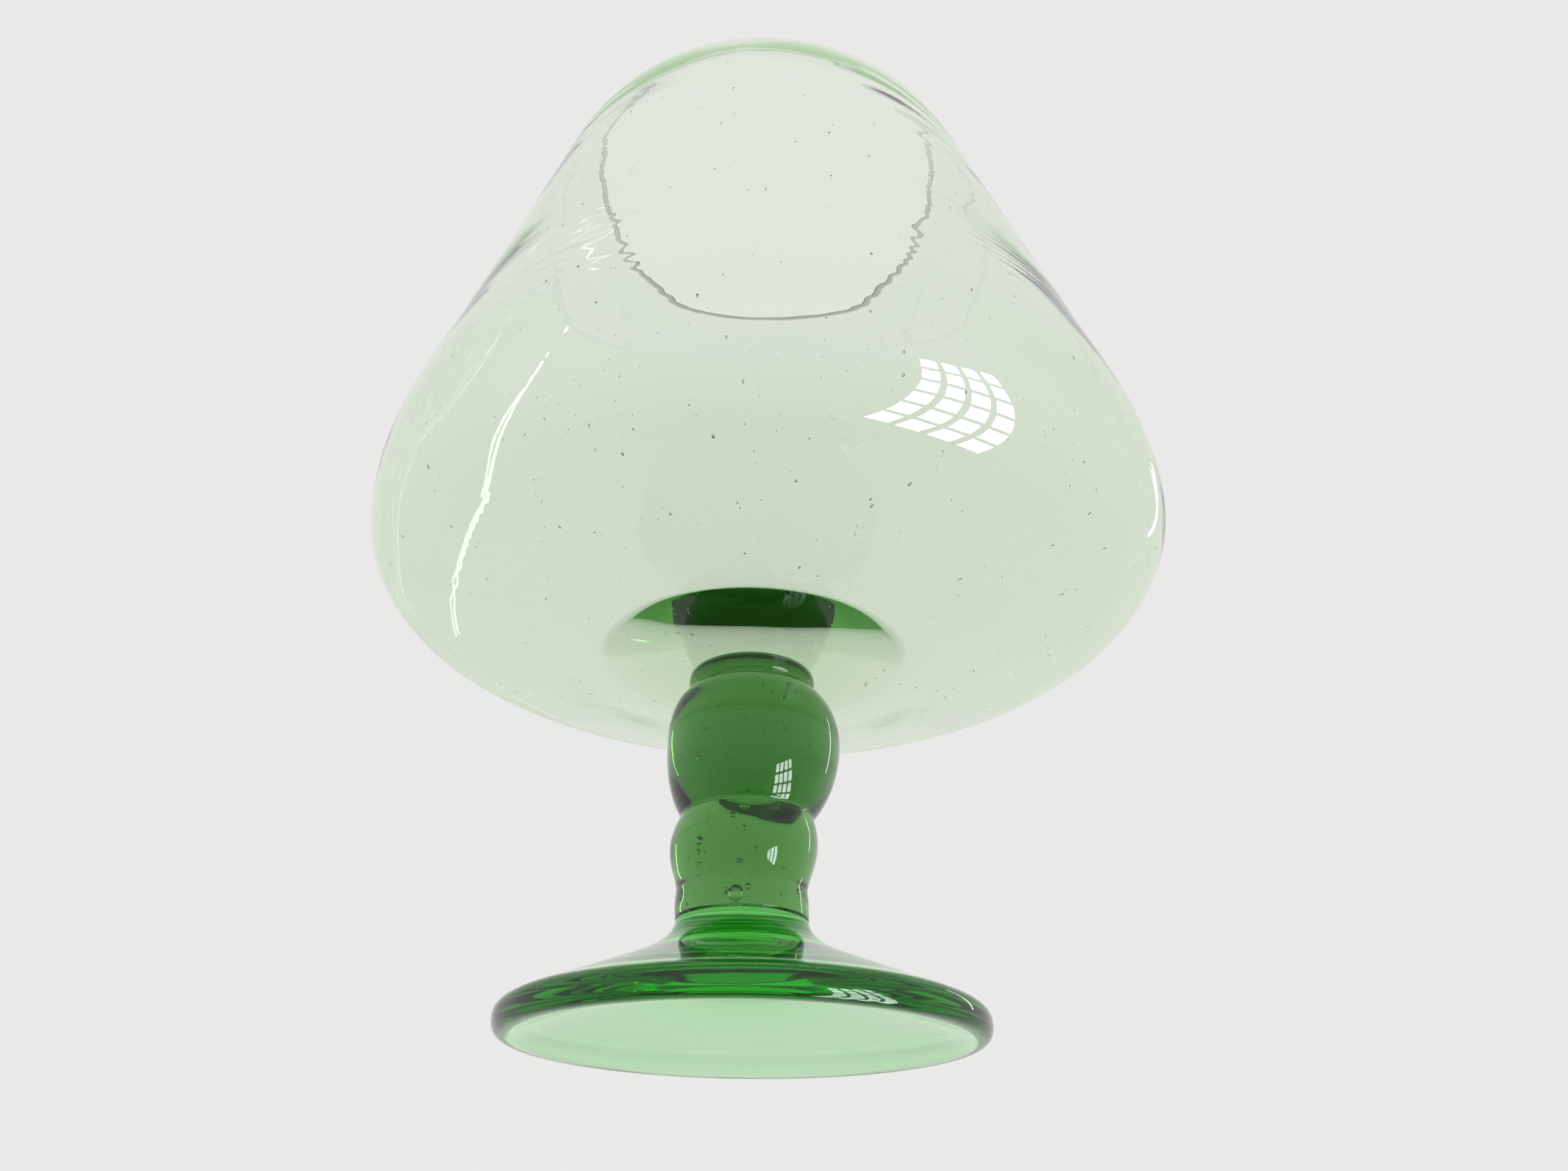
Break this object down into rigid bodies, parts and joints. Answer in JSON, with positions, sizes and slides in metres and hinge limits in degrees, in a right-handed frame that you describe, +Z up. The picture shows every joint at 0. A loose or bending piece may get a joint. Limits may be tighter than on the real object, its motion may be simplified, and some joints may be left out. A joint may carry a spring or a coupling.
{
  "type": "footed glass vase",
  "caption": "Large blown-glass vase shaped like a brandy snifter: a pale bowl with a turned-in mouth on a solid green knopped stem and a domed round foot.",
  "frame": {"origin": "in the plane that the foot rests on, below the middle of the bowl's widest circle", "axes": "+Z up the vase from foot to rim; the foot and stem stand about 5 mm towards -X of the bowl's middle, as the blown piece is not quite straight"},
  "size_m": [0.2284, 0.2284, 0.3],
  "materials": {
    "pale_glass": "clear pale sea-green blown glass with small seeds",
    "green_glass": "clear olive to bottle-green solid glass with small bubbles"
  },
  "bodies": {
    "root": {"foot": "green_glass", "stem_shaft": "green_glass", "lower_knop": "green_glass", "upper_knop": "green_glass", "bowl_collar": "green_glass", "bowl": "pale_glass"}
  },
  "joints": []
}
